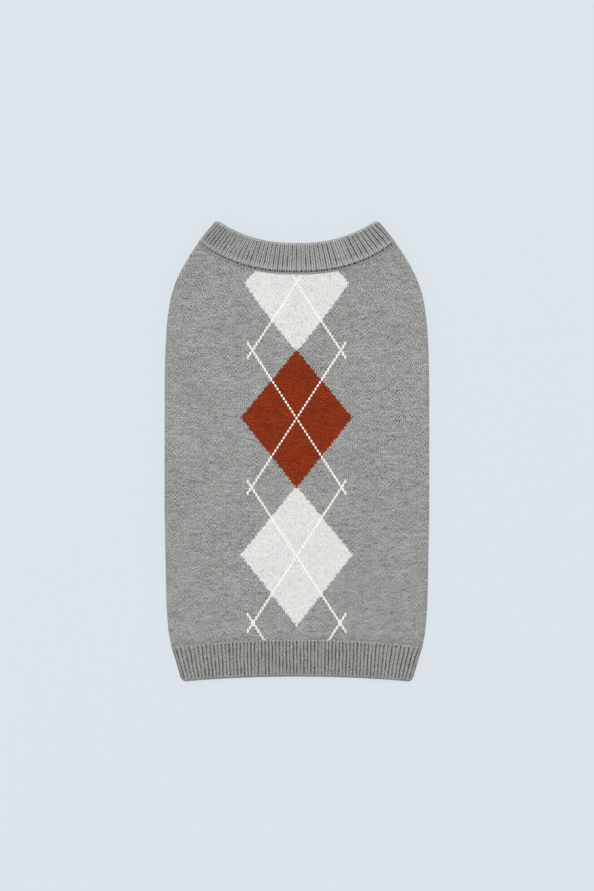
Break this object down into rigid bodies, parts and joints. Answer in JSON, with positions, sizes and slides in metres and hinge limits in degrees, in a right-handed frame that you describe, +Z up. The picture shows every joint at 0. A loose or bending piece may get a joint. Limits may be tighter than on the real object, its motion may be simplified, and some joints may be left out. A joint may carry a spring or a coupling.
{
  "type": "dog sweater",
  "caption": "Pull-on knitted dog sweater laid flat with its back up: a jersey tube with an argyle column, a ribbed neckband, a ribbed hem and banded leg holes in the belly.",
  "frame": {"origin": "centre of the sweater's outline, on the surface that it lies on", "axes": "+X across the sweater, +Y along it from the hem to the neck, +Z up from the surface; the sweater's back faces +Z"},
  "size_m": [0.212, 0.3686, 0.0068],
  "materials": {
    "grey_jersey": "fine grey heather jersey with argyle diamonds in rust and off-white, matt with a faint nap",
    "grey_rib": "grey heather one-by-one rib, matt"
  },
  "bodies": {
    "root": {"back_panel": "grey_jersey", "belly_panel": "grey_jersey", "neckband": "grey_rib", "hem_rib": "grey_rib", "leg_band_left": "grey_rib", "leg_band_right": "grey_rib"}
  },
  "joints": []
}
